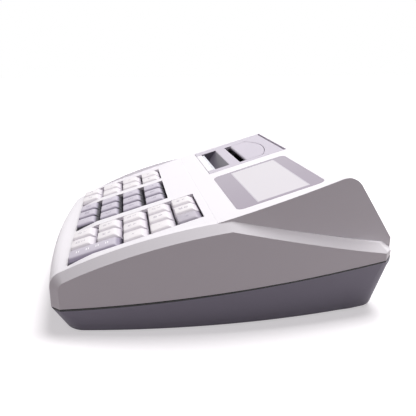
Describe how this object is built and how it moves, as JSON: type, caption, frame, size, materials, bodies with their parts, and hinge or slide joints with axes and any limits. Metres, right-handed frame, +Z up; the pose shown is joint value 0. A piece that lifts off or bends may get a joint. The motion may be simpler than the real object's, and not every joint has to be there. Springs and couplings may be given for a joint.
{
  "type": "ticket register",
  "caption": "Portable ticket register: wedge case with sloping keypad, flat display window and a hinged paper cover with tear slot over a thermal printer.",
  "frame": {"origin": "middle of the machine's length and width, on the surface that it stands on", "axes": "+X to the operator's right, +Y to the rear, +Z up"},
  "size_m": [0.2048, 0.2116, 0.0924],
  "materials": {
    "white_housing": "fine satin moulded plastic, off-white",
    "dark_tray": "satin dark blue-grey moulded plastic",
    "tinted_window": "gloss clear panel with a grey-violet border printed on its back",
    "lcd_glass": "pale liquid crystal display glass",
    "inner_plastic": "plain dark moulded plastic inside the case",
    "silicone": "translucent grey silicone sheet",
    "circuit_board": "green glass-fibre board",
    "steel": "zinc-plated steel",
    "foot_rubber": "black rubber",
    "battery_wrap": "blue heat-shrink wrap",
    "cover_plastic": "satin moulded plastic, pale lavender-white",
    "platen_rubber": "black ground rubber",
    "head_metal": "aluminium heat sink with a dark glazed print line",
    "motor_metal": "plain steel can",
    "white_keys": "satin white keycaps",
    "number_keys": "satin lavender-grey keycaps with dark sides",
    "grey_key": "satin mid-grey keycap",
    "light_grey_key": "satin light-grey keycap"
  },
  "bodies": {
    "case": {"base_tray": "dark_tray", "battery_pack": "battery_wrap", "case_screws": "steel", "cover_hinge_pin": "steel", "display_window": "tinted_window", "dome_mat": "silicone", "key_guide_plate": "inner_plastic", "keyboard_board": "circuit_board", "keyboard_screws": "steel", "lcd_panel": "lcd_glass", "main_board": "circuit_board", "paper_bin": "inner_plastic", "printer_frame": "steel", "rubber_feet": "foot_rubber", "stepper_motor": "motor_metal", "tear_bar": "steel", "thermal_head": "head_metal", "top_housing": "white_housing"},
    "paper_cover": {"paper_cover": "cover_plastic"},
    "release_flap": {"release_flap": "cover_plastic"},
    "platen": {"platen_roller": "platen_rubber", "platen_shaft": "steel"},
    "total_key": {"total_key": "grey_key"},
    "department_key_1": {"department_key_1": "white_keys"},
    "department_key_2": {"department_key_2": "white_keys"},
    "department_key_3": {"department_key_3": "white_keys"},
    "department_key_4": {"department_key_4": "white_keys"},
    "department_key_5": {"department_key_5": "white_keys"},
    "department_key_6": {"department_key_6": "white_keys"},
    "subtotal_key": {"subtotal_key": "white_keys"},
    "department_key_7": {"department_key_7": "white_keys"},
    "department_key_8": {"department_key_8": "white_keys"},
    "void_key": {"void_key": "white_keys"},
    "department_key_9": {"department_key_9": "white_keys"},
    "department_key_10": {"department_key_10": "white_keys"},
    "paper_feed_key": {"paper_feed_key": "light_grey_key"},
    "zero_key": {"zero_key": "number_keys"},
    "double_zero_key": {"double_zero_key": "number_keys"},
    "decimal_key": {"decimal_key": "number_keys"},
    "function_key_1": {"function_key_1": "white_keys"},
    "function_key_2": {"function_key_2": "white_keys"},
    "number_key_1": {"number_key_1": "number_keys"},
    "number_key_2": {"number_key_2": "number_keys"},
    "number_key_3": {"number_key_3": "number_keys"},
    "function_key_3": {"function_key_3": "white_keys"},
    "function_key_4": {"function_key_4": "white_keys"},
    "number_key_4": {"number_key_4": "number_keys"},
    "number_key_5": {"number_key_5": "number_keys"},
    "number_key_6": {"number_key_6": "number_keys"},
    "function_key_5": {"function_key_5": "white_keys"},
    "function_key_6": {"function_key_6": "white_keys"},
    "number_key_7": {"number_key_7": "number_keys"},
    "number_key_8": {"number_key_8": "number_keys"},
    "number_key_9": {"number_key_9": "number_keys"},
    "function_key_7": {"function_key_7": "white_keys"},
    "function_key_8": {"function_key_8": "white_keys"}
  },
  "joints": [
    {"name": "cover_hinge", "type": "hinge", "parent": "case", "child": "paper_cover", "pos_m": [-0.0497, 0.06584, 0.08769], "axis": [-1, 0, 0], "range_deg": [0, 90]},
    {"name": "flap_lift", "type": "hinge", "parent": "paper_cover", "child": "release_flap", "pos_m": [-0.0462, 0.04685, 0.08279], "axis": [-1, 0, 0], "range_deg": [0, 25], "stiffness_Nm_per_rad": 0.02, "springref_deg": -5.73},
    {"name": "platen_spin", "type": "hinge", "parent": "paper_cover", "child": "platen", "pos_m": [-0.048, 0.0248, 0.06264], "axis": [1, 0, 0], "continuous": true},
    {"name": "total_key_press", "type": "slide", "parent": "case", "child": "total_key", "axis": [0, 0.279, -0.9603], "range_m": [0, 0.0025], "stiffness_N_per_m": 240, "springref_m": -0.0012},
    {"name": "department_key_1_press", "type": "slide", "parent": "case", "child": "department_key_1", "axis": [0, 0.279, -0.9603], "range_m": [0, 0.0025], "stiffness_N_per_m": 240, "springref_m": -0.0012},
    {"name": "department_key_2_press", "type": "slide", "parent": "case", "child": "department_key_2", "axis": [0, 0.279, -0.9603], "range_m": [0, 0.0025], "stiffness_N_per_m": 240, "springref_m": -0.0012},
    {"name": "department_key_3_press", "type": "slide", "parent": "case", "child": "department_key_3", "axis": [0, 0.279, -0.9603], "range_m": [0, 0.0025], "stiffness_N_per_m": 240, "springref_m": -0.0012},
    {"name": "department_key_4_press", "type": "slide", "parent": "case", "child": "department_key_4", "axis": [0, 0.279, -0.9603], "range_m": [0, 0.0025], "stiffness_N_per_m": 240, "springref_m": -0.0012},
    {"name": "department_key_5_press", "type": "slide", "parent": "case", "child": "department_key_5", "axis": [0, 0.279, -0.9603], "range_m": [0, 0.0025], "stiffness_N_per_m": 240, "springref_m": -0.0012},
    {"name": "department_key_6_press", "type": "slide", "parent": "case", "child": "department_key_6", "axis": [0, 0.279, -0.9603], "range_m": [0, 0.0025], "stiffness_N_per_m": 240, "springref_m": -0.0012},
    {"name": "subtotal_key_press", "type": "slide", "parent": "case", "child": "subtotal_key", "axis": [0, 0.279, -0.9603], "range_m": [0, 0.0025], "stiffness_N_per_m": 240, "springref_m": -0.0012},
    {"name": "department_key_7_press", "type": "slide", "parent": "case", "child": "department_key_7", "axis": [0, 0.279, -0.9603], "range_m": [0, 0.0025], "stiffness_N_per_m": 240, "springref_m": -0.0012},
    {"name": "department_key_8_press", "type": "slide", "parent": "case", "child": "department_key_8", "axis": [0, 0.279, -0.9603], "range_m": [0, 0.0025], "stiffness_N_per_m": 240, "springref_m": -0.0012},
    {"name": "void_key_press", "type": "slide", "parent": "case", "child": "void_key", "axis": [0, 0.279, -0.9603], "range_m": [0, 0.0025], "stiffness_N_per_m": 240, "springref_m": -0.0012},
    {"name": "department_key_9_press", "type": "slide", "parent": "case", "child": "department_key_9", "axis": [0, 0.279, -0.9603], "range_m": [0, 0.0025], "stiffness_N_per_m": 240, "springref_m": -0.0012},
    {"name": "department_key_10_press", "type": "slide", "parent": "case", "child": "department_key_10", "axis": [0, 0.279, -0.9603], "range_m": [0, 0.0025], "stiffness_N_per_m": 240, "springref_m": -0.0012},
    {"name": "paper_feed_key_press", "type": "slide", "parent": "case", "child": "paper_feed_key", "axis": [0, 0.279, -0.9603], "range_m": [0, 0.0025], "stiffness_N_per_m": 240, "springref_m": -0.0012},
    {"name": "zero_key_press", "type": "slide", "parent": "case", "child": "zero_key", "axis": [0, 0.279, -0.9603], "range_m": [0, 0.0025], "stiffness_N_per_m": 240, "springref_m": -0.0012},
    {"name": "double_zero_key_press", "type": "slide", "parent": "case", "child": "double_zero_key", "axis": [0, 0.279, -0.9603], "range_m": [0, 0.0025], "stiffness_N_per_m": 240, "springref_m": -0.0012},
    {"name": "decimal_key_press", "type": "slide", "parent": "case", "child": "decimal_key", "axis": [0, 0.279, -0.9603], "range_m": [0, 0.0025], "stiffness_N_per_m": 240, "springref_m": -0.0012},
    {"name": "function_key_1_press", "type": "slide", "parent": "case", "child": "function_key_1", "axis": [0, 0.279, -0.9603], "range_m": [0, 0.0025], "stiffness_N_per_m": 240, "springref_m": -0.0012},
    {"name": "function_key_2_press", "type": "slide", "parent": "case", "child": "function_key_2", "axis": [0, 0.279, -0.9603], "range_m": [0, 0.0025], "stiffness_N_per_m": 240, "springref_m": -0.0012},
    {"name": "number_key_1_press", "type": "slide", "parent": "case", "child": "number_key_1", "axis": [0, 0.279, -0.9603], "range_m": [0, 0.0025], "stiffness_N_per_m": 240, "springref_m": -0.0012},
    {"name": "number_key_2_press", "type": "slide", "parent": "case", "child": "number_key_2", "axis": [0, 0.279, -0.9603], "range_m": [0, 0.0025], "stiffness_N_per_m": 240, "springref_m": -0.0012},
    {"name": "number_key_3_press", "type": "slide", "parent": "case", "child": "number_key_3", "axis": [0, 0.279, -0.9603], "range_m": [0, 0.0025], "stiffness_N_per_m": 240, "springref_m": -0.0012},
    {"name": "function_key_3_press", "type": "slide", "parent": "case", "child": "function_key_3", "axis": [0, 0.279, -0.9603], "range_m": [0, 0.0025], "stiffness_N_per_m": 240, "springref_m": -0.0012},
    {"name": "function_key_4_press", "type": "slide", "parent": "case", "child": "function_key_4", "axis": [0, 0.279, -0.9603], "range_m": [0, 0.0025], "stiffness_N_per_m": 240, "springref_m": -0.0012},
    {"name": "number_key_4_press", "type": "slide", "parent": "case", "child": "number_key_4", "axis": [0, 0.279, -0.9603], "range_m": [0, 0.0025], "stiffness_N_per_m": 240, "springref_m": -0.0012},
    {"name": "number_key_5_press", "type": "slide", "parent": "case", "child": "number_key_5", "axis": [0, 0.279, -0.9603], "range_m": [0, 0.0025], "stiffness_N_per_m": 240, "springref_m": -0.0012},
    {"name": "number_key_6_press", "type": "slide", "parent": "case", "child": "number_key_6", "axis": [0, 0.279, -0.9603], "range_m": [0, 0.0025], "stiffness_N_per_m": 240, "springref_m": -0.0012},
    {"name": "function_key_5_press", "type": "slide", "parent": "case", "child": "function_key_5", "axis": [0, 0.279, -0.9603], "range_m": [0, 0.0025], "stiffness_N_per_m": 240, "springref_m": -0.0012},
    {"name": "function_key_6_press", "type": "slide", "parent": "case", "child": "function_key_6", "axis": [0, 0.279, -0.9603], "range_m": [0, 0.0025], "stiffness_N_per_m": 240, "springref_m": -0.0012},
    {"name": "number_key_7_press", "type": "slide", "parent": "case", "child": "number_key_7", "axis": [0, 0.279, -0.9603], "range_m": [0, 0.0025], "stiffness_N_per_m": 240, "springref_m": -0.0012},
    {"name": "number_key_8_press", "type": "slide", "parent": "case", "child": "number_key_8", "axis": [0, 0.279, -0.9603], "range_m": [0, 0.0025], "stiffness_N_per_m": 240, "springref_m": -0.0012},
    {"name": "number_key_9_press", "type": "slide", "parent": "case", "child": "number_key_9", "axis": [0, 0.279, -0.9603], "range_m": [0, 0.0025], "stiffness_N_per_m": 240, "springref_m": -0.0012},
    {"name": "function_key_7_press", "type": "slide", "parent": "case", "child": "function_key_7", "axis": [0, 0.279, -0.9603], "range_m": [0, 0.0025], "stiffness_N_per_m": 240, "springref_m": -0.0012},
    {"name": "function_key_8_press", "type": "slide", "parent": "case", "child": "function_key_8", "axis": [0, 0.279, -0.9603], "range_m": [0, 0.0025], "stiffness_N_per_m": 240, "springref_m": -0.0012}
  ]
}
